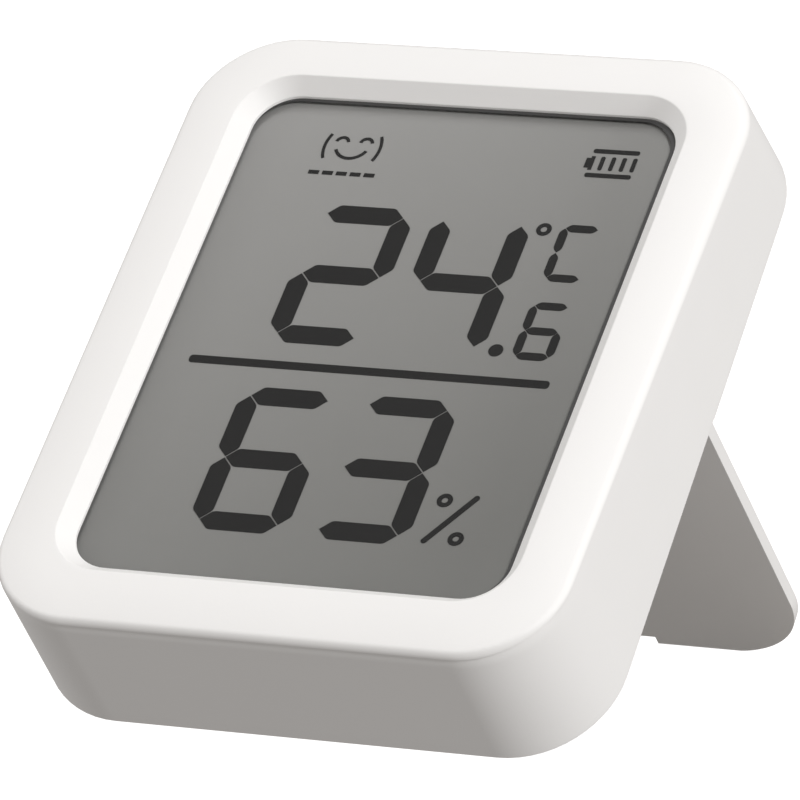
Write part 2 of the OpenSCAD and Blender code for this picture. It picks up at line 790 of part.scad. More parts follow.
// insulated wire, up from its tab, across to x1 and down onto the board
module lead(y, z0, x1) {
    translate([wire_x, y, z0]) cylinder(h = pad_z - bend_r - z0, r = lead_r);
    translate([wire_x - bend_r, y, pad_z - bend_r]) rotate([90, 0, 0])
        rotate_extrude(angle = 90) translate([bend_r, 0]) circle(lead_r);
    bar(y, pad_z, lead_r, x1 + bend_r, wire_x - bend_r);
    translate([x1 + bend_r, y - bend_r, pad_z]) rotate([0, 0, 90])
        rotate_extrude(angle = 90) translate([bend_r, 0]) circle(lead_r);
    rod(x1, pad_z, lead_r, pad_y + 0.05, y - bend_r);
}

module lead_red() {
    color("red") placed() lead(tab_low + lead_r + 0.05, cell_z, board_w / 2 - 2);
}

module lead_black() {
    color([0.1, 0.1, 0.1]) placed() lead(tab_high + lead_r + 0.05, cell_z + cell_pitch, board_w / 2 - 5.5);
}

// pan head screw, head from Y 0 to h, shank towards minus Y
module screw(x, z, y, h, l) {
    difference() {
        rod(x, z, head_r, y, y + h);
        box(x - 1.1, x + 1.1, y + h - 0.4, y + h + 1, z - 0.2, z + 0.2);
        box(x - 0.2, x + 0.2, y + h - 0.4, y + h + 1, z - 1.1, z + 1.1);
    }
    rod(x, z, screw_r, y - l, y);
}

module board_screws() {
    color("silver") placed() in_face() for (s = [-1, 1]) {
        rod(s * boss_x, boss_v, head_r, top_d, top_d + 1.1);
        rod(s * boss_x, boss_v, screw_r, lip_d + 0.9, top_d);
    }
}

module tray_screws() {
    color("silver") placed() for (s = [-1, 1]) screw(s * boss_x, ear_z, -ear_y, 1.1, 5.2);
}

module cover_screws() {
    color("silver") placed() for (s = [-1, 1]) screw(s * cover_screw_x, cover_screw_z, -tongue_y, 0.85, 5.6);
}

module battery_cover() {
    color("white") placed() difference() {
        union() {
            intersection() {
                plate(inner_w, inner_h, inner_r, -panel_t, 0, body_h / 2);
                box(-60, 60, -10, 10, -10, panel_top);
            }
            for (s = [-1, 1]) {
                bar(hinge_y, hinge_z, stand_in, s * knuckle_x - knuckle_w / 2, s * knuckle_x + knuckle_w / 2);
                box(s * knuckle_x - knuckle_w / 2, s * knuckle_x + knuckle_w / 2, -0.2, hinge_y,
                    hinge_z - stand_in, hinge_z + stand_in);
                box(s * clip_x - clip_t / 2, s * clip_x + clip_t / 2, -4, -panel_t + 0.2, 22, 36);
            }
            box(-15, 15, -4, -panel_t + 0.2, wall + 0.6, wall + 0.6 + clip_t);
        }
        for (s = [-1, 1]) bar(hinge_y, hinge_z, pin_d / 2 + pin_gap, s * knuckle_x - 4, s * knuckle_x + 4);
    }
}

// stand drawn folded against the back around its hinge axis
module stand_folded() {
    difference() {
        union() {
            translate([0, stand_out, 0]) rotate([90, 0, 0]) linear_extrude(stand_t) difference() {
                union() {
                    translate([-stand_w / 2, stand_r - stand_l]) square([stand_w, stand_l - stand_r]);
                    translate([stand_r - stand_w / 2, -stand_l]) square([stand_w - 2 * stand_r, stand_l]);
                    for (s = [-1, 1])
                        translate([s * (stand_w / 2 - stand_r), stand_r - stand_l]) circle(stand_r);
                }
                translate([-notch_w / 2, -stand_l - 1]) square([notch_w, notch_d + 1]);
            }
            bar(0, 0, stand_in, -stand_w / 2, stand_w / 2);
            box(-stand_w / 2, stand_w / 2, 0, stand_out, -0.5, heel);
        }
        for (s = [-1, 1]) {
            box(s * knuckle_x - knuckle_w / 2 - 0.25, s * knuckle_x + knuckle_w / 2 + 0.25, -3, 3, -1.7, 3);
            bar(0, 0, pin_d / 2, s * knuckle_x - pin_l / 2, s * knuckle_x + pin_l / 2);
        }
    }
}

module stand() {
    color("white") difference() {
        placed() translate([0, hinge_y, hinge_z]) rotate([open_angle, 0, 0]) stand_folded();
        under_table();
    }
}

module hinge_pins() {
    color("silver") placed() for (s = [-1, 1])
        bar(hinge_y, hinge_z, pin_d / 2, s * knuckle_x - pin_l / 2, s * knuckle_x + pin_l / 2);
}

front_shell();
lens_tape();
display_lens();
lcd_segments();
lcd_front_film();
lcd_front_glass();
lcd_rear_glass();
lcd_reflector();
display_holder();
zebra_strip();
circuit_board();
radio_chip();
chip_antenna();
crystal();
memory_chip();
passives();
sensor_chip();
sensor_foam();
tact_switch();
switch_plunger();
button_cap();
rear_cover();
magnet_left();
magnet_right();
battery_tray();
cell_lower();
cell_upper();
contact_bridge();
contact_positive();
contact_negative();
spring_lower();
spring_upper();
lead_red();
lead_black();
board_screws();
tray_screws();
cover_screws();
battery_cover();
stand();
hinge_pins();
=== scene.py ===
import json
import math

import bmesh
import bpy
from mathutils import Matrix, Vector


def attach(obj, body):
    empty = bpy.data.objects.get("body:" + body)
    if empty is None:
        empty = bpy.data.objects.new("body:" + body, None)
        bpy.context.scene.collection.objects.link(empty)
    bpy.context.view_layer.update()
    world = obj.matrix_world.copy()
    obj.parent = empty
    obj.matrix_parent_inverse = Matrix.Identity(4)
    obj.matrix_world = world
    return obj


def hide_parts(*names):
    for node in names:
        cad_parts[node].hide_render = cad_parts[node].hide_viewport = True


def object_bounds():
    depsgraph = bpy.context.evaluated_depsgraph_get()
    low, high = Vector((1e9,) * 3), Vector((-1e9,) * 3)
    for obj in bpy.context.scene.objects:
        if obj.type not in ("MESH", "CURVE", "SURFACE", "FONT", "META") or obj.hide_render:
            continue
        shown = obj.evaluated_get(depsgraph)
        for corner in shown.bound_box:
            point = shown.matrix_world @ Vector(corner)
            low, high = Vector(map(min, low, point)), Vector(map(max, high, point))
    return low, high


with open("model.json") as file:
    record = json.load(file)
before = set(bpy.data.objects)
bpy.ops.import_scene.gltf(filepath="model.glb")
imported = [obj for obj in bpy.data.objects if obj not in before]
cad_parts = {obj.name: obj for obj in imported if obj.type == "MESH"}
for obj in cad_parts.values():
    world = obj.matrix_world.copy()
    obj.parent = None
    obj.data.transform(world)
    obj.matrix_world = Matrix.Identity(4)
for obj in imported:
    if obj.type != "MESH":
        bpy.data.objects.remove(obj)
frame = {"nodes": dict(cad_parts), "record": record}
cad_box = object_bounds()

# Where the body stands. The sensor leans back on its stand, so its pieces are drawn in body sizes, in mm:
# x to the right, y out of the back from the rim, z up along the back. The keyhole mount fixes that frame.
mm = 0.001
mounts = {m["name"]: m for m in frame["record"]["mounts"]}
keyhole_y, keyhole_z = -0.125, 65
out_of_back = Vector(mounts["wall_keyhole"]["axis"])
up_the_back = Vector((0, -out_of_back.z, out_of_back.y))
keyhole = Vector(mounts["wall_keyhole"]["pos_m"])
body_origin = keyhole - (out_of_back * keyhole_y + up_the_back * keyhole_z) * mm


def in_body(x, y, z):
    """A point given in body sizes, in the row frame."""
    return body_origin + (Vector((x, 0, 0)) + out_of_back * y + up_the_back * z) * mm


# Camera. A long lens from the front right, a little above the table, as in the photograph.
# The aim is measured from the body's lower back edge.
camera_azimuth = math.radians(24.71)
camera_elevation = math.radians(9.6)
camera_distance = 809.7
camera_aim = (10.65, 0, 35.69)
towards_camera = Vector((
    math.sin(camera_azimuth) * math.cos(camera_elevation),
    -math.cos(camera_azimuth) * math.cos(camera_elevation),
    math.sin(camera_elevation),
))
lens = bpy.data.cameras.new("camera")
lens.sensor_width = 36
lens.lens = 364.6
camera = bpy.data.objects.new("camera", lens)
camera.location = body_origin + (Vector(camera_aim) + towards_camera * camera_distance) * mm
camera.rotation_euler = towards_camera.to_track_quat("Z", "Y").to_euler()
bpy.context.scene.collection.objects.link(camera)
bpy.context.scene.camera = camera
bpy.context.scene.view_settings.view_transform = "Standard"

# Studio. A white table that runs out to white, soft light from all round, one softbox from the right front
# and three weaker ones from the right, from above and from the left. A grey card under the raised back
# keeps the stand's inner side in shade.
floor_mesh = bpy.data.meshes.new("table_top")
floor_half = 3
floor_corners = [(-floor_half, -floor_half, 0), (floor_half, -floor_half, 0),
                 (floor_half, floor_half, 0), (-floor_half, floor_half, 0)]
floor_mesh.from_pydata(floor_corners, [], [(0, 1, 2, 3)])
floor = bpy.data.objects.new("table_top", floor_mesh)
bpy.context.scene.collection.objects.link(floor)
floor.visible_diffuse = False
floor.visible_glossy = False
floor_paint = bpy.data.materials.new("table_white")
floor_paint.use_nodes = True
floor_shader = floor_paint.node_tree.nodes["Principled BSDF"]
floor_shader.inputs["Base Color"].default_value = (0.46, 0.445, 0.425, 1)
floor_shader.inputs["Roughness"].default_value = 1
floor_shader.inputs["Specular IOR Level"].default_value = 0
floor_shader.inputs["Emission Color"].default_value = (1, 1, 1, 1)
floor_ray = floor_paint.node_tree.nodes.new("ShaderNodeLightPath")
floor_paint.node_tree.links.new(floor_ray.outputs["Is Camera Ray"], floor_shader.inputs["Emission Strength"])
floor_mesh.materials.append(floor_paint)
card_half, card_depth, card_lift = 0.06, 0.05, 0.0001
card_corners = [(-card_half, 0, 0), (card_half, 0, 0),
                (card_half, card_depth, 0), (-card_half, card_depth, 0)]
flag_mesh = bpy.data.meshes.new("flag_card")
flag_mesh.from_pydata(card_corners, [], [(0, 1, 2, 3)])
flag = bpy.data.objects.new("flag_card", flag_mesh)
bpy.context.scene.collection.objects.link(flag)
flag.location.z = card_lift
flag.visible_camera = False
flag.visible_glossy = False
flag.visible_shadow = False
flag_paint = bpy.data.materials.new("card_grey")
flag_paint.use_nodes = True
flag_paint.node_tree.nodes["Principled BSDF"].inputs["Base Color"].default_value = (0.34, 0.32, 0.3, 1)
flag_mesh.materials.append(flag_paint)

surroundings = bpy.data.worlds.new("surroundings")
bpy.context.scene.world = surroundings
surroundings.use_nodes = True
sky = surroundings.node_tree
ambient = sky.nodes["Background"]
ambient.inputs["Color"].default_value = (1, 0.96, 0.925, 1)
ambient.inputs["Strength"].default_value = 0.33
backdrop = sky.nodes.new("ShaderNodeBackground")
backdrop.inputs["Color"].default_value = (1, 1, 1, 1)
ray = sky.nodes.new("ShaderNodeLightPath")
seen = sky.nodes.new("ShaderNodeMixShader")
sky.links.new(ray.outputs["Is Camera Ray"], seen.inputs["Fac"])
sky.links.new(ambient.outputs["Background"], seen.inputs[1])
sky.links.new(backdrop.outputs["Background"], seen.inputs[2])
sky.links.new(seen.outputs["Shader"], sky.nodes["World Output"].inputs["Surface"])
softbox_distance = 1.2


def softbox(name, direction, size, energy):
    """A square soft light that looks at the object from that direction."""
    light = bpy.data.lights.new(name, "AREA")
    light.size = size
    light.energy = energy
    lamp = bpy.data.objects.new(name, light)
    lamp.location = direction.normalized() * softbox_distance
    lamp.rotation_euler = direction.to_track_quat("Z", "Y").to_euler()
    lamp.visible_camera = False
    bpy.context.scene.collection.objects.link(lamp)


softbox("front_softbox", Vector((0.6, -0.6, 0.5)), 0.2, 5.2)
softbox("right_softbox", Vector((0.95, -0.2, 0.12)), 0.3, 5.4)
softbox("top_softbox", Vector((0.01, 0.08, 1)), 0.3, 5.0)
softbox("left_softbox", Vector((-0.9, -0.22, 0.37)), 0.6, 3.9)

# Front shell. One white moulding: drafted side walls, a gently crowned front frame and a bevelled window.
# The display is taped in from behind, and the covers close the open back rim.
body_w, body_h, body_d = 64.6, 79.9, 18.65
corner_r, wall = 11, 1.7
draft_a, droop_a = math.radians(2.3), math.radians(1.7)
draft = math.tan(draft_a)
face_tilt = math.radians(3.9)
ct, st = math.cos(face_tilt), math.sin(face_tilt)
lip_d = 2.0
win_w, win_h, win_r, win_v = 48.3, 63.75, 4.6, 40.1
bevel_w, bevel_d, bevel_soft = 1.6, 1.65, 0.12
lip_soft_w, lip_soft_d = 0.08, 0.03
crown_r, crown_a = 29, math.radians(9)
edge_r, edge_a, edge_gap = 0.8, math.radians(82), 0.1
edge_weight, edge_run = 0.77, 1.5
groove_w, groove_d = 0.9, 0.13
rim_r, rim_run, rim_chamfer = 0.24, 1.5, 0.15
corner_steps, side_steps = 14, 5
rim_steps, edge_steps, crown_steps, bevel_steps = 4, 7, 12, 4
corner_x = body_w / 2 - corner_r
low_draft, high_draft = math.tan(draft_a - droop_a), math.tan(draft_a + droop_a)
front_lo = low_draft * body_d / (1 + low_draft * st / ct) / ct
front_hi = (body_h + high_draft * (body_h * st / ct - body_d) / (1 - high_draft * st / ct)) / ct
face_mid = (front_lo + front_hi) / 2
edge_end = corner_r - body_d * draft
corner_v = (front_hi - front_lo) / 2 - edge_end - edge_gap
crown_end = edge_end - edge_r * (math.sin(edge_a) - math.sin(crown_a))
crown_start = crown_end - crown_r * math.sin(crown_a)


def in_face(x, d, v):
    """A point in face sizes, in the row frame: d inwards from the front plane, v up along it."""
    return in_body(x, d * ct + v * st - body_d, v * ct - d * st)


def rounded(half_w, half_h, r, mid):
    """Once round a rectangle with round corners: (x, height, outward x, outward height) for each point."""
    points = []
    corners = ((1, -1), (1, 1), (-1, 1), (-1, -1))
    for turn in range(4):
        here, there = corners[turn], corners[(turn + 1) % 4]
        spots = [(here, 90 * (turn - 1 + i / corner_steps)) for i in range(corner_steps)]
        for i in range(side_steps):
            share = i / side_steps
            spots.append(([a + (b - a) * share for a, b in zip(here, there)], 90 * turn))
        for (sx, sv), angle in spots:
            nx, nv = math.cos(math.radians(angle)), math.sin(math.radians(angle))
            points.append((sx * (half_w - r) + r * nx, mid + sv * (half_h - r) + r * nv, nx, nv))
    return points


def loft(mesh, rings, closed=False):
    """Quads between rings of equally many points, and from the last ring to the first if closed."""
    rows = [[mesh.verts.new(p) for p in ring] for ring in rings]
    for low, high in zip(rows, rows[1:] + rows[:1] if closed else rows[1:]):
        for i in range(len(low)):
            j = (i + 1) % len(low)
            mesh.faces.new((low[i], low[j], high[j], high[i]))
    return rows


def piece(name, mesh, sharp_angle=40):
    """Turns a bmesh into an object with smooth faces, sharp where they meet at more than that angle."""
    bmesh.ops.recalc_face_normals(mesh, faces=mesh.faces)
    data = bpy.data.meshes.new(name)
    mesh.to_mesh(data)
    mesh.free()
    data.shade_smooth()
    data.set_sharp_from_angle(angle=math.radians(sharp_angle))
    made = bpy.data.objects.new(name, data)
    bpy.context.scene.collection.objects.link(made)
    weighted = made.modifiers.new("weighted_normals", "WEIGHTED_NORMAL")
    weighted.keep_sharp = True
    return made


wall_line = rounded(body_w / 2, body_h / 2, corner_r, 0)
inner_line = rounded(body_w / 2 - wall, body_h / 2 - wall, corner_r - wall, 0)
crown_line = rounded(corner_x + crown_end, corner_v + crown_end, crown_end, face_mid)


def window_line(out):
    """The window's outline, that far outside the visible display."""
    return rounded(win_w / 2 + out, win_h / 2 + out, win_r + out, win_v)


def on_wall(spot, run):
    """A body point on the wall through a spot of its outline: it is drafted, and droops towards the front."""
    x, height, nx, nv = spot
    rise = height + nv * draft * run
    return Vector((
        x + nx * draft * run,
        run * math.cos(droop_a) - rise * math.sin(droop_a),
        body_h / 2 + run * math.sin(droop_a) + rise * math.cos(droop_a),
    ))


def rim_ring(line, inset, y):
    """A ring on the wall at depth y from the back rim, set in by inset."""
    ring = []
    for spot in line:
        start, ahead = on_wall(spot, 0), on_wall(spot, -1)
        place = on_wall(spot, (y - start.y) / (start.y - ahead.y))
        ring.append(in_body(place.x - spot[2] * inset, y, place.z - spot[3] * inset))
    return ring


def wall_point(spot, d):
    """Where the wall through a spot lies at depth d behind the front plane, in face sizes."""
    start, ahead = ((p.y + body_d) * ct - p.z * st for p in (on_wall(spot, 0), on_wall(spot, -1)))
    place = on_wall(spot, (d - start) / (start - ahead))
    return Vector((place.x, d, place.z * ct + (place.y + body_d) * st))


def crown_depth(x, v):
    """How far the crowned frame drops behind the front plane."""
    out = math.hypot(max(abs(x) - corner_x, 0), max(abs(v - face_mid) - corner_v, 0)) - crown_start
    return crown_r - math.sqrt(crown_r ** 2 - out ** 2) if out > 0 else 0


def bend(start, corner, end, share, weight):
    """A point on a round bend from start to end whose tangents meet at corner."""
    a, b, c = (1 - share) ** 2, 2 * share * (1 - share) * weight, share ** 2
    return (start * a + corner * b + end * c) / (a + b + c)


shell_rings = []
for i in range(rim_steps + 1):
    angle = math.radians(90 * i / rim_steps)
    shell_rings.append(rim_ring(wall_line, rim_r * (1 - math.sin(angle)), -rim_r * (1 - math.cos(angle))))
shell_rings.append(rim_ring(wall_line, 0, -rim_run))
edge_arcs = []
for spot, (x, v, _, _) in zip(wall_line, crown_line):
    crown_tip = Vector((x, crown_depth(x, v), v))
    reach = wall_point(spot, crown_tip.y) - crown_tip
    knee = wall_point(spot, crown_tip.y + reach.length * math.tan(crown_a))
    foot = wall_point(spot, knee.y + (knee - crown_tip).length)
    # the groove is full along the lower wall and fades out up the side walls
    groove_share = min(max(0.2 - 1.2 * spot[3], 0), 1)
    groove = wall_point(spot, foot.y + groove_w / 6) - Vector((spot[2], 0, spot[3])) * groove_d * groove_share
    edge_arcs.append(
        [wall_point(spot, foot.y + edge_run), wall_point(spot, foot.y + groove_w), groove]
        + [bend(foot, knee, crown_tip, i / edge_steps, edge_weight) for i in range(edge_steps + 1)])
for i in range(len(edge_arcs[0])):
    shell_rings.append([in_face(*arc[i]) for arc in edge_arcs])
bevel_out = window_line(bevel_w + bevel_soft)
for i in range(1, crown_steps + 1):
    share = i / crown_steps
    ring = []
    for (x0, v0, _, _), (x1, v1, _, _) in zip(crown_line, bevel_out):
        x, v = x0 + (x1 - x0) * share, v0 + (v1 - v0) * share
        ring.append(in_face(x, crown_depth(x, v), v))
    shell_rings.append(ring)
bevel_slope = math.atan2(bevel_d, bevel_w)
bend_start = Vector((bevel_w + bevel_soft, 0))
bend_corner = Vector((bevel_w, 0))
bend_end = Vector((bevel_w - bevel_soft * math.cos(bevel_slope), bevel_soft * math.sin(bevel_slope)))
for i in range(1, bevel_steps + 1):
    out, d = bend(bend_start, bend_corner, bend_end, i / bevel_steps, math.cos(bevel_slope / 2))
    shell_rings.append([in_face(x, d, v) for x, v, _, _ in window_line(out)])
lip_top = bevel_d - lip_soft_w * math.tan(bevel_slope)
for out, d in ((lip_soft_w, lip_top), (0, bevel_d + lip_soft_d), (0, lip_d)):
    shell_rings.append([in_face(x, d, v) for x, v, _, _ in window_line(out)])
shell_rings.append([in_face(*wall_point(spot, lip_d)) for spot in inner_line])
shell_rings.append(rim_ring(inner_line, 0, -rim_chamfer))
shell_rings.append(rim_ring(inner_line, -rim_chamfer, 0))

shell_mesh = bmesh.new()
loft(shell_mesh, shell_rings, closed=True)
for vertex in shell_mesh.verts:
    vertex.co.y = max(vertex.co.y, cad_box[0][1])
    vertex.co.z = min(max(vertex.co.z, 0), cad_box[1][2])
front_shell = piece("front_shell_moulding", shell_mesh, 32)
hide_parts("front_shell")
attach(front_shell, "housing")

boss_x, boss_r, boss_hole = body_w / 2 - 3.9, 1.75, 0.97
boss_flare, boss_flare_l, boss_chamfer = 0.25, 0.35, 0.12
boss_sink, boss_floor = 0.1, 0.6
boss_v, boss_d = 62.2, 4.7
tray_boss_z, tray_boss_foot, tray_boss_top, tray_hole_end = 17, -16.05, -9.6, -14.2
rib_l, rib_t, rib_drop, rib_chamfer = 2.4, 1.2, 0.3, 0.1
hook_x, hook_half, hook_front, hook_back = 11, 3, -3.6, -2.6
hook_reach, hook_sink = 1.2, 0.5
boss_steps = 24
boss_mesh = bmesh.new()


def boss(place, x, height, low, high, hole_end):
    """A screw boss with a flared foot at low, a chamfered top at high and a blind hole."""
    profile = [
        (boss_r + boss_flare, low), (boss_r, low + boss_flare_l), (boss_r, high - boss_chamfer),
        (boss_r - boss_chamfer, high), (boss_hole + boss_chamfer, high), (boss_hole, high - boss_chamfer),
        (boss_hole, hole_end),
    ]
    turns = [2 * math.pi * i / boss_steps for i in range(boss_steps)]
    rows = loft(boss_mesh, [
        [place(x + r * math.cos(t), depth, height + r * math.sin(t)) for t in turns] for r, depth in profile])
    boss_mesh.faces.new(rows[0])
    boss_mesh.faces.new(rows[-1])


def rib(place, x0, x1, low, high, h0, h1):
    """A rib with chamfered ends between two depths."""
    rings = []
    ends = ((low, rib_chamfer), (low + rib_chamfer, 0), (high - rib_chamfer, 0), (high, rib_chamfer))
    for depth, cut in ends:
        corners = ((x0 + cut, h0 + cut), (x1 - cut, h0 + cut), (x1 - cut, h1 - cut), (x0 + cut, h1 - cut))
        rings.append([place(x, depth, h) for x, h in corners])
    rows = loft(boss_mesh, rings)
    boss_mesh.faces.new(rows[0])
    boss_mesh.faces.new(rows[-1])


for side in (-1, 1):
    rib_ends = sorted((side * boss_x, side * (boss_x + rib_l)))
    boss(in_face, side * boss_x, boss_v, lip_d - boss_sink, boss_d, lip_d + boss_floor)
    rib(in_face, *rib_ends, lip_d - boss_sink, boss_d - rib_drop, boss_v - rib_t / 2, boss_v + rib_t / 2)
    boss(in_body, side * boss_x, tray_boss_z, tray_boss_foot, tray_boss_top, tray_hole_end)
    rib(in_body, *rib_ends, tray_boss_foot, tray_boss_top - rib_drop,
        tray_boss_z - rib_t / 2, tray_boss_z + rib_t / 2)
    rib(in_body, side * hook_x - hook_half, side * hook_x + hook_half, hook_front, hook_back,
        body_h - wall - hook_reach, body_h - wall + hook_sink)
bosses = piece("front_shell_bosses", boss_mesh, 35)
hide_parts("front_shell")
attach(bosses, "housing")


def node_group(name, inputs, outputs):
    """A shader node group with named sockets; inputs give a name, a socket kind and a default."""
    group = bpy.data.node_groups.new(name, "ShaderNodeTree")
    for socket, kind, value in inputs:
        made = group.interface.new_socket(name=socket, in_out="INPUT", socket_type="NodeSocket" + kind)
        made.default_value = value
    for socket, kind in outputs:
        group.interface.new_socket(name=socket, in_out="OUTPUT", socket_type="NodeSocket" + kind)
    return group, group.nodes.new("NodeGroupInput"), group.nodes.new("NodeGroupOutput")


def noise(tree, coordinates, scale, detail):
    """A noise texture on those coordinates; scale is a number or a socket."""
    made = tree.nodes.new("ShaderNodeTexNoise")
    made.inputs["Detail"].default_value = detail
    tree.links.new(coordinates, made.inputs["Vector"])
    if isinstance(scale, (int, float)):
        made.inputs["Scale"].default_value = scale
    else:
        tree.links.new(scale, made.inputs["Scale"])
    return made.outputs["Fac"]


def arithmetic(tree, operation, a, b, c=None):
    """A math node on sockets or numbers."""
    made = tree.nodes.new("ShaderNodeMath")
    made.operation = operation
    for i, value in enumerate((a, b) if c is None else (a, b, c)):
        if isinstance(value, (int, float)):
            made.inputs[i].default_value = value
        else:
            tree.links.new(value, made.inputs[i])
    return made.outputs["Value"]


# the skin that a spark-eroded mould leaves on plastic: fine grain, faint clouding, uneven gloss
moulded_skin, skin_in, skin_out = node_group("moulded_skin", [
    ("Colour", "Color", (0.8, 0.8, 0.8, 1)),
    ("Clouding", "Float", 0.02),
    ("Gloss", "Float", 0.5),
    ("Gloss Spread", "Float", 0.08),
    ("Grain Size", "Float", 3000.0),
], [("Color", "Color"), ("Roughness", "Float"), ("Height", "Float")])
skin_place = moulded_skin.nodes.new("ShaderNodeTexCoord").outputs["Object"]
skin_grain = noise(moulded_skin, skin_place, skin_in.outputs["Grain Size"], 2)
skin_cloud = noise(moulded_skin, skin_place, 90, 3)
skin_shift = arithmetic(moulded_skin, "SUBTRACT", skin_cloud, 0.5)
skin_tone = arithmetic(moulded_skin, "MULTIPLY_ADD", skin_shift, skin_in.outputs["Clouding"], 1.0)
skin_tint = moulded_skin.nodes.new("ShaderNodeVectorMath")
skin_tint.operation = "SCALE"
moulded_skin.links.new(skin_in.outputs["Colour"], skin_tint.inputs[0])
moulded_skin.links.new(skin_tone, skin_tint.inputs["Scale"])
skin_gloss = arithmetic(moulded_skin, "MULTIPLY_ADD", skin_shift, skin_in.outputs["Gloss Spread"],
                        skin_in.outputs["Gloss"])
moulded_skin.links.new(skin_tint.outputs["Vector"], skin_out.inputs["Color"])
moulded_skin.links.new(skin_gloss, skin_out.inputs["Roughness"])
moulded_skin.links.new(skin_grain, skin_out.inputs["Height"])


def finish_with(name, group, values, bump, bump_distance, constants):
    """A material: one surface group feeding the shader's colour, roughness and bump, and plain constants."""
    paint = bpy.data.materials.new(name)
    paint.use_nodes = True
    tree = paint.node_tree
    shader = tree.nodes["Principled BSDF"]
    surface = tree.nodes.new("ShaderNodeGroup")
    surface.node_tree = group
    for socket, value in values.items():
        surface.inputs[socket].default_value = value
    tree.links.new(surface.outputs["Color"], shader.inputs["Base Color"])
    tree.links.new(surface.outputs["Roughness"], shader.inputs["Roughness"])
    relief = tree.nodes.new("ShaderNodeBump")
    relief.inputs["Strength"].default_value = bump
    relief.inputs["Distance"].default_value = bump_distance * mm
    tree.links.new(surface.outputs["Height"], relief.inputs["Height"])
    tree.links.new(relief.outputs["Normal"], shader.inputs["Normal"])
    for socket, value in constants.items():
        shader.inputs[socket].default_value = value
    return paint


def paint_on(target, paint):
    """That material alone on an object."""
    target.data.materials.clear()
    target.data.materials.append(paint)


white_plastic = finish_with("white_plastic", moulded_skin, {
    "Colour": (0.86, 0.853, 0.845, 1),
    "Clouding": 0.02,
    "Gloss": 0.5,
    "Gloss Spread": 0.1,
    "Grain Size": 3200,
}, 0.25, 0.02, {"Specular IOR Level": 0.4})
paint_on(front_shell, white_plastic)
paint_on(bosses, white_plastic)

# Display window and its tape. A clear plastic pane is held behind the shell's lip
# by a black adhesive frame, which shows as a dark line around the display. Along the right and top edges
# that line is widened into painted shadow of the lip, in a grey set to the shadow's tone.
# the tape's black is lifted to the grey of the lip's shadow beside it: its own black and painted shadow in
# one
tape_black = finish_with("tape_black", moulded_skin, {
    "Colour": (0.065, 0.065, 0.065, 1),
    "Clouding": 0.3,
    "Gloss": 0.6,
    "Gloss Spread": 0.2,
    "Grain Size": 2000,
}, 0.4, 0.03, {"Specular IOR Level": 0.3})
tape_d, tape_end, tape_w, tape_lip = 2.0, 2.2, 0.9, 0.25
tape_fall, tape_soft_w, tape_soft_d = 0.1, 0.06, 0.05
# painted shadow: the tape's inner edge is shifted left and down, so a wider dark band shows along the right
# and top of the display where the lip's shadow falls
tape_shadow_shift_x, tape_shadow_shift_v = -0.4, -0.05
tape_profile = [
    (tape_w, tape_end), (tape_w, tape_d), (0, tape_d), (tape_soft_w - tape_lip, tape_d + tape_fall),
    (-tape_lip, tape_d + tape_fall + tape_soft_d), (-tape_lip, tape_end),
]
tape_rings = []
for out, d in tape_profile:
    dx, dv = (tape_shadow_shift_x, tape_shadow_shift_v) if out < 0 else (0, 0)
    tape_rings.append([in_face(x + dx, d, v + dv) for x, v, _, _ in window_line(out)])
tape_mesh = bmesh.new()
loft(tape_mesh, tape_rings, closed=True)
tape = piece("window_tape_and_shadow_band", tape_mesh)
paint_on(tape, tape_black)
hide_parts("lens_tape")
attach(tape, "housing")

clear_pane = finish_with("clear_pane", moulded_skin, {
    "Colour": (0.02, 0.02, 0.02, 1),
    "Clouding": 0.05,
    "Gloss": 0.06,
    "Gloss Spread": 0.04,
    "Grain Size": 600,
}, 0.02, 0.01, {"Alpha": 0.05, "Specular IOR Level": 0.5})
paint_on(frame["nodes"]["display_lens"], clear_pane)

# Liquid crystal display. Two glass plates between a grey polarising film in front and a reflector behind,
# with the switched segments as thin dark shapes on the film.
# painted shade: the film's grey is mixed from a lit tone at the top left to a shaded tone towards the bottom
# and the right, standing in for how the light falls across the recessed display
film_painted_lit, film_painted_shade = (0.376, 0.374, 0.366, 1), (0.218, 0.219, 0.21, 1)
painted_shade_down, painted_shade_right = 0.7, 0.47
film_grey = finish_with("film_grey", moulded_skin, {
    "Clouding": 0.03,
    "Gloss": 0.4,
    "Gloss Spread": 0.05,
    "Grain Size": 9000,
}, 0.1, 0.01, {"Specular IOR Level": 0.3})
film_tree = film_grey.node_tree
film_place = film_tree.nodes.new("ShaderNodeTexCoord")
film_axes = film_tree.nodes.new("ShaderNodeSeparateXYZ")
film_tree.links.new(film_place.outputs["Generated"], film_axes.inputs["Vector"])
# painted shade: the share of the shaded tone grows downwards and to the right over the film
painted_shade_drop = arithmetic(film_tree, "MULTIPLY_ADD", film_axes.outputs["Z"], -painted_shade_down, painted_shade_down)
painted_shade_share = arithmetic(film_tree, "MULTIPLY_ADD", film_axes.outputs["X"], painted_shade_right, painted_shade_drop)
painted_shade_mix = film_tree.nodes.new("ShaderNodeMix")
painted_shade_mix.data_type = "RGBA"
film_tree.links.new(painted_shade_share, painted_shade_mix.inputs["Factor"])
painted_shade_mix.inputs["A"].default_value = film_painted_lit
painted_shade_mix.inputs["B"].default_value = film_painted_shade
film_tree.links.new(painted_shade_mix.outputs["Result"], film_tree.nodes["Group"].inputs["Colour"])
paint_on(frame["nodes"]["lcd_front_film"], film_grey)
segment_dark = finish_with("segment_dark", moulded_skin, {
    "Colour": (0.022, 0.022, 0.022, 1),
    "Clouding": 0.2,
    "Gloss": 0.45,
    "Gloss Spread": 0.05,
    "Grain Size": 9000,
}, 0.1, 0.01, {"Specular IOR Level": 0.15})


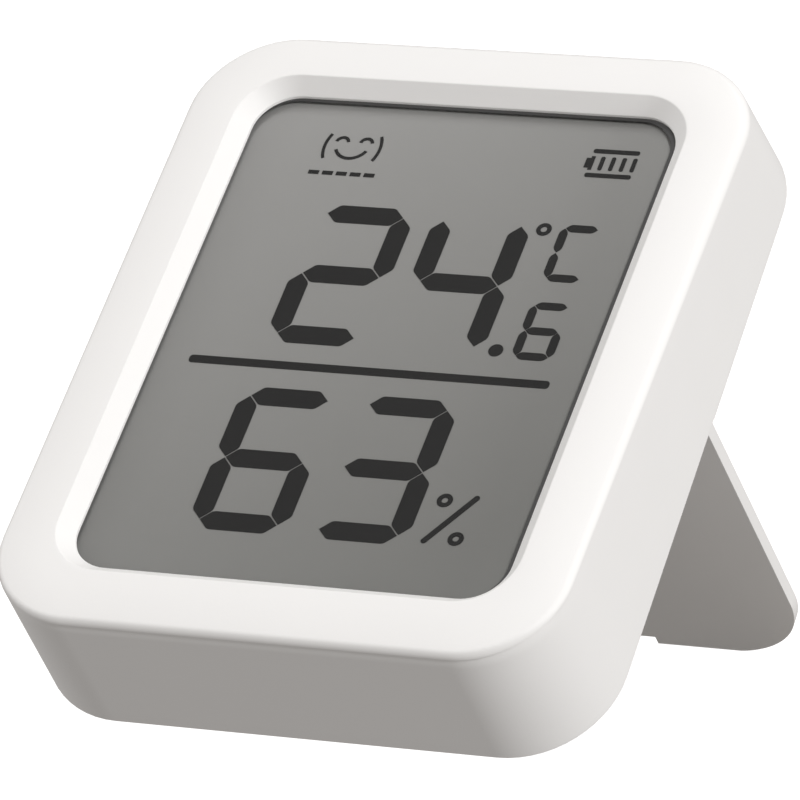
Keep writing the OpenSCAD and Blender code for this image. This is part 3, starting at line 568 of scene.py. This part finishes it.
def flat_faced(node):
    """A copy of a CAD node's mesh whose triangles are joined back into flat faces."""
    mesh = bmesh.new()
    mesh.from_mesh(frame["nodes"][node].data)
    bmesh.ops.remove_doubles(mesh, verts=mesh.verts, dist=1e-7)
    bmesh.ops.dissolve_limit(mesh, angle_limit=math.radians(0.5), verts=mesh.verts, edges=mesh.edges)
    return mesh


segment_corner, segment_corner_steps = 0.3, 4
blunt_least, blunt_most = math.radians(30), math.radians(70)
inwards = (in_face(0, 1, 0) - in_face(0, 0, 0)).normalized()
segment_mesh = flat_faced("lcd_segments")
blunt_edges = []
for edge in segment_mesh.edges:
    along = (edge.verts[0].co - edge.verts[1].co).normalized().dot(inwards)
    if abs(along) > 0.99 and blunt_least < edge.calc_face_angle(0) < blunt_most:
        blunt_edges.append(edge)
bmesh.ops.bevel(segment_mesh, geom=blunt_edges, offset=segment_corner * mm, segments=segment_corner_steps,
                profile=0.5, affect="EDGES")
segments = piece("display_segments", segment_mesh)
paint_on(segments, segment_dark)
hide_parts("lcd_segments")
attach(segments, "housing")
display_glass = finish_with("display_glass", moulded_skin, {
    "Colour": (0.55, 0.62, 0.58, 1),
    "Clouding": 0.05,
    "Gloss": 0.08,
    "Gloss Spread": 0.04,
    "Grain Size": 800,
}, 0.02, 0.01, {"Specular IOR Level": 0.5})
for node in ("lcd_front_glass", "lcd_rear_glass"):
    paint_on(frame["nodes"][node], display_glass)
reflector_film = finish_with("reflector_film", moulded_skin, {
    "Colour": (0.6, 0.6, 0.58, 1),
    "Clouding": 0.06,
    "Gloss": 0.45,
    "Gloss Spread": 0.1,
    "Grain Size": 6000,
}, 0.2, 0.01, {"Metallic": 0.8})
paint_on(frame["nodes"]["lcd_reflector"], reflector_film)

# Display holder and connector strip. A black moulded frame clamps the display from behind,
# and a strip of layered rubber carries its contacts to the circuit board.
dark_plastic = finish_with("dark_plastic", moulded_skin, {
    "Colour": (0.035, 0.036, 0.04, 1),
    "Clouding": 0.15,
    "Gloss": 0.55,
    "Gloss Spread": 0.12,
    "Grain Size": 2600,
}, 0.3, 0.02, {"Specular IOR Level": 0.4})
paint_on(frame["nodes"]["display_holder"], dark_plastic)
strip_pitch = 0.1
strip_rubber = finish_with("strip_rubber", moulded_skin, {
    "Clouding": 0.1,
    "Gloss": 0.6,
    "Gloss Spread": 0.1,
    "Grain Size": 3000,
}, 0.2, 0.02, {"Specular IOR Level": 0.4})
strip_tree = strip_rubber.node_tree
strip_place = strip_tree.nodes.new("ShaderNodeTexCoord")
strip_axes = strip_tree.nodes.new("ShaderNodeSeparateXYZ")
strip_tree.links.new(strip_place.outputs["Object"], strip_axes.inputs["Vector"])
strip_phase = arithmetic(strip_tree, "PINGPONG", strip_axes.outputs["X"], strip_pitch / 2 * mm)
strip_layer = arithmetic(strip_tree, "GREATER_THAN", strip_phase, strip_pitch / 4 * mm)
strip_mix = strip_tree.nodes.new("ShaderNodeMix")
strip_mix.data_type = "RGBA"
strip_tree.links.new(strip_layer, strip_mix.inputs["Factor"])
strip_mix.inputs["A"].default_value = (0.03, 0.03, 0.03, 1)
strip_mix.inputs["B"].default_value = (0.7, 0.42, 0.46, 1)
strip_tree.links.new(strip_mix.outputs["Result"], strip_tree.nodes["Group"].inputs["Colour"])
paint_on(frame["nodes"]["zebra_strip"], strip_rubber)

# Circuit board. Glass fibre laminate under green solder mask, whose copper tracks show as lighter lines.
# Two screws hold it and the display holder to the shell's bosses.
track_pitch = 1.1
board_mask = finish_with("board_mask", moulded_skin, {
    "Clouding": 0.1,
    "Gloss": 0.3,
    "Gloss Spread": 0.1,
    "Grain Size": 5000,
}, 0.1, 0.01, {"Specular IOR Level": 0.5})
board_tree = board_mask.node_tree
board_place = board_tree.nodes.new("ShaderNodeTexCoord")
board_tracks = board_tree.nodes.new("ShaderNodeTexBrick")
board_tree.links.new(board_place.outputs["Object"], board_tracks.inputs["Vector"])
board_tracks.inputs["Scale"].default_value = 1 / (track_pitch * mm)
board_tracks.inputs["Mortar Size"].default_value = 0.08
board_tracks.inputs["Row Height"].default_value = 0.4
board_tracks.inputs["Brick Width"].default_value = 3
board_tracks.inputs["Color1"].default_value = (0.008, 0.075, 0.03, 1)
board_tracks.inputs["Color2"].default_value = (0.01, 0.085, 0.034, 1)
board_tracks.inputs["Mortar"].default_value = (0.03, 0.16, 0.06, 1)
board_tree.links.new(board_tracks.outputs["Color"], board_tree.nodes["Group"].inputs["Colour"])
paint_on(frame["nodes"]["circuit_board"], board_mask)

# Parts on the board. Black moulded chips, a plated crystal can, fired ceramic antenna and passive parts.
# They are soldered onto the side of the board that faces the back.
chip_epoxy = finish_with("chip_epoxy", moulded_skin, {
    "Colour": (0.022, 0.022, 0.025, 1),
    "Clouding": 0.25,
    "Gloss": 0.6,
    "Gloss Spread": 0.1,
    "Grain Size": 7000,
}, 0.5, 0.02, {"Specular IOR Level": 0.4})
for node in ("radio_chip", "memory_chip", "sensor_chip", "tact_switch", "switch_plunger"):
    paint_on(frame["nodes"][node], chip_epoxy)
fired_ceramic = finish_with("fired_ceramic", moulded_skin, {
    "Colour": (0.52, 0.43, 0.32, 1),
    "Clouding": 0.3,
    "Gloss": 0.45,
    "Gloss Spread": 0.1,
    "Grain Size": 4000,
}, 0.3, 0.02, {"Specular IOR Level": 0.5})
for node in ("chip_antenna", "passives"):
    paint_on(frame["nodes"][node], fired_ceramic)

# the surface of drawn or plated metal: fine lines along one direction, uneven brightness and gloss
drawn_metal, metal_in, metal_out = node_group("drawn_metal", [
    ("Colour", "Color", (0.7, 0.7, 0.7, 1)),
    ("Shading", "Float", 0.15),
    ("Gloss", "Float", 0.3),
    ("Gloss Spread", "Float", 0.2),
    ("Line Size", "Float", 3000.0),
], [("Color", "Color"), ("Roughness", "Float"), ("Height", "Float")])
metal_place = drawn_metal.nodes.new("ShaderNodeTexCoord").outputs["Object"]
metal_stretch = drawn_metal.nodes.new("ShaderNodeMapping")
metal_stretch.inputs["Scale"].default_value = (0.06, 1, 1)
drawn_metal.links.new(metal_place, metal_stretch.inputs["Vector"])
metal_lines = noise(drawn_metal, metal_stretch.outputs["Vector"], metal_in.outputs["Line Size"], 2)
metal_cloud = noise(drawn_metal, metal_place, 250, 2)
metal_shift = arithmetic(drawn_metal, "SUBTRACT", metal_cloud, 0.5)
metal_tone = arithmetic(drawn_metal, "MULTIPLY_ADD", metal_shift, metal_in.outputs["Shading"], 1.0)
metal_tint = drawn_metal.nodes.new("ShaderNodeVectorMath")
metal_tint.operation = "SCALE"
drawn_metal.links.new(metal_in.outputs["Colour"], metal_tint.inputs[0])
drawn_metal.links.new(metal_tone, metal_tint.inputs["Scale"])
metal_gloss = arithmetic(drawn_metal, "MULTIPLY_ADD", metal_shift, metal_in.outputs["Gloss Spread"],
                         metal_in.outputs["Gloss"])
drawn_metal.links.new(metal_tint.outputs["Vector"], metal_out.inputs["Color"])
drawn_metal.links.new(metal_gloss, metal_out.inputs["Roughness"])
drawn_metal.links.new(metal_lines, metal_out.inputs["Height"])
nickel_plate = finish_with("nickel_plate", drawn_metal, {
    "Colour": (0.66, 0.64, 0.6, 1),
    "Gloss": 0.28,
}, 0.2, 0.01, {"Metallic": 1})
paint_on(frame["nodes"]["crystal"], nickel_plate)

# Sensor seal. An open foam ring joins the sensor chip to the vents in the rear cover,
# so that it measures the air of the room and not that of the housing.
foam_grey = finish_with("foam_grey", moulded_skin, {
    "Colour": (0.06, 0.06, 0.065, 1),
    "Clouding": 0.5,
    "Gloss": 0.95,
    "Gloss Spread": 0.05,
    "Grain Size": 1600,
}, 1.0, 0.15, {"Specular IOR Level": 0.2})
paint_on(frame["nodes"]["sensor_foam"], foam_grey)


# Rear cover. A white moulding over the upper half of the back, with vents, a hanging keyhole, a button hole
# and the seats of two wall magnets. It hooks under the shell's top wall and is screwed to the battery tray.
def softened(node, name, edge_radius):
    """A copy of a CAD node whose sharp edges are rounded as a mould or press leaves them."""
    sharp_angle = 35
    made = piece(name, flat_faced(node), sharp_angle)
    rounding = made.modifiers.new("rounded_edges", "BEVEL")
    rounding.width = edge_radius * mm
    rounding.segments = 2
    rounding.limit_method = "ANGLE"
    rounding.angle_limit = math.radians(sharp_angle)
    rounding.miter_outer = "MITER_ARC"
    made.modifiers.move(1, 0)
    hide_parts(node)
    return made


rear_cover = softened("rear_cover", "rear_cover_moulding", 0.2)
paint_on(rear_cover, white_plastic)
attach(rear_cover, "housing")
magnet_nickel = finish_with("magnet_nickel", drawn_metal, {
    "Colour": (0.7, 0.7, 0.71, 1),
    "Gloss": 0.18,
}, 0.1, 0.01, {"Metallic": 1})
for node in ("magnet_left", "magnet_right"):
    paint_on(frame["nodes"][node], magnet_nickel)

# Button. A light grey cap with a shallow finger dish, kept in its hole by a flange behind the rear cover.
# It presses the plunger of the push switch on the board.
button_grey = finish_with("button_grey", moulded_skin, {
    "Colour": (0.6, 0.6, 0.59, 1),
    "Clouding": 0.03,
    "Gloss": 0.42,
    "Gloss Spread": 0.1,
    "Grain Size": 3200,
}, 0.2, 0.02, {"Specular IOR Level": 0.4})
button = softened("button_cap", "button_moulding", 0.25)
paint_on(button, button_grey)
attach(button, "button")

# Battery tray. A black moulding with a channel for each cell, screwed to two bosses of the shell.
# Slots in its right end let the contact tabs out to the wires.
tray = softened("battery_tray", "battery_tray_moulding", 0.15)
paint_on(tray, dark_plastic)
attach(tray, "housing")

# Battery cells. Two AAA cells, each a steel can in a plain printed film, with its raised pole at one end.
# They lie side by side with their poles at opposite ends.
cell_d, cell_l, nub_l, nub_r = 10.2, 44.5, 0.9, 1.9
cell_y, cell_z, cell_pitch = 6.85, 10.8, 11.2
cell_tip, band_l = 24.2, 9
cell_steps = 40
cell_film = finish_with("cell_film", moulded_skin, {
    "Colour": (0.3, 0.33, 0.33, 1),
    "Clouding": 0.05,
    "Gloss": 0.25,
    "Gloss Spread": 0.08,
    "Grain Size": 500,
}, 0.05, 0.02, {"Specular IOR Level": 0.5, "Coat Weight": 0.3})
cell_band = finish_with("cell_band", moulded_skin, {
    "Colour": (0.03, 0.2, 0.13, 1),
    "Clouding": 0.05,
    "Gloss": 0.25,
    "Gloss Spread": 0.08,
    "Grain Size": 500,
}, 0.05, 0.02, {"Specular IOR Level": 0.5, "Coat Weight": 0.3})
cell_r = cell_d / 2
shoulder = cell_tip - nub_l
flat_end = cell_tip - cell_l
band_start = shoulder - band_l
# along the cell from its flat end to its pole: place, radius, and which of film, band or bare metal follows
cell_profile = [
    (flat_end, 3.6, 2), (flat_end + 0.1, 4.3, 2), (flat_end, 4.55, 0), (flat_end + 0.15, 4.9, 0),
    (flat_end + 0.5, cell_r, 0), (band_start, cell_r, 1), (shoulder - 0.5, cell_r, 1),
    (shoulder - 0.15, 4.9, 1), (shoulder, 4.5, 1), (shoulder - 0.15, 4.0, 2), (shoulder - 0.2, 2.4, 2),
    (shoulder, nub_r, 2), (cell_tip - 0.25, nub_r, 2), (cell_tip, nub_r - 0.3, 2),
]
for node, height, way in (("cell_lower", cell_z, 1), ("cell_upper", cell_z + cell_pitch, -1)):
    cell_mesh = bmesh.new()
    cell_rings = []
    for along, radius, _ in cell_profile:
        turns = [2 * math.pi * i / cell_steps for i in range(cell_steps)]
        cell_rings.append([
            in_body(way * along, radius * math.cos(t) - cell_y, radius * math.sin(t) + height) for t in turns
        ])
    cell_rows = loft(cell_mesh, cell_rings)
    for row, face in enumerate(cell_mesh.faces):
        face.material_index = cell_profile[row // cell_steps][2]
    for row in (cell_rows[0], cell_rows[-1]):
        cell_mesh.faces.new(row).material_index = 2
    cell = piece(node + "_can", cell_mesh, 50)
    for paint in (cell_film, cell_band, nickel_plate):
        cell.data.materials.append(paint)
    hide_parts(node)
    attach(cell, "housing")

# Battery contacts. Nickel-plated spring steel: a bridge plate on the left joins the cells,
# two end plates with solder tabs on the right, and a coil spring pushes on each flat pole.
contact_x = 24.25
wire_r, spring_r, spring_turns = 0.3, 2.4, 3
spring_steps, wire_steps = 28, 10
spring_l = contact_x + flat_end - 2 * wire_r
for node in ("contact_bridge", "contact_positive", "contact_negative"):
    paint_on(frame["nodes"][node], nickel_plate)
for node, height, way in (("spring_lower", cell_z, 1), ("spring_upper", cell_z + cell_pitch, -1)):
    spring_mesh = bmesh.new()
    spring_rings = []
    for i in range(spring_steps * spring_turns + 1):
        turn = 2 * math.pi * i / spring_steps
        climb = wire_r + spring_l * i / (spring_steps * spring_turns)
        ring = []
        for j in range(wire_steps):
            side = 2 * math.pi * j / wire_steps
            out = spring_r + wire_r * math.cos(side)
            along = contact_x - climb - wire_r * math.sin(side)
            ring.append(in_body(-way * along, out * math.cos(turn) - cell_y, out * math.sin(turn) + height))
        spring_rings.append(ring)
    spring_rows = loft(spring_mesh, spring_rings)
    for row in (spring_rows[0], spring_rows[-1]):
        spring_mesh.faces.new(row)
    spring = piece(node + "_coil", spring_mesh, 60)
    paint_on(spring, nickel_plate)
    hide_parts(node)
    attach(spring, "housing")

# Battery wires. Two short wires in soft red and black insulation, soldered from the contact tabs
# to the circuit board.
for node, colour in (("lead_red", (0.42, 0.012, 0.012, 1)), ("lead_black", (0.012, 0.012, 0.012, 1))):
    insulation = finish_with(node + "_insulation", moulded_skin, {
        "Colour": colour,
        "Clouding": 0.1,
        "Gloss": 0.4,
        "Gloss Spread": 0.1,
        "Grain Size": 900,
    }, 0.1, 0.02, {"Specular IOR Level": 0.5})
    paint_on(frame["nodes"][node], insulation)

# Screws and hinge pins. Zinc-plated steel: a pair of screws each for board, tray and rear cover,
# and the two pins that the stand swings on.
zinc_plate = finish_with("zinc_plate", drawn_metal, {
    "Colour": (0.55, 0.56, 0.58, 1),
    "Gloss": 0.35,
}, 0.2, 0.01, {"Metallic": 1})
paint_on(frame["nodes"]["hinge_pins"], zinc_plate)
for node in ("board_screws", "tray_screws", "cover_screws"):
    screws = softened(node, node + "_steel", 0.12)
    paint_on(screws, zinc_plate)
    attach(screws, "housing")

# Battery cover. A white panel over the lower half of the back, clipped into the shell.
# Its two knuckles carry the hinge pins of the stand.
battery_cover = softened("battery_cover", "battery_cover_moulding", 0.15)
paint_on(battery_cover, white_plastic)
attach(battery_cover, "battery_cover")

# Stand. A white moulded flap as wide as the body that swings out square to the back,
# with rounded foot corners and a nail notch in its foot.
stand = softened("stand", "stand_moulding", 0.2)
paint_on(stand, white_plastic)
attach(stand, "stand")
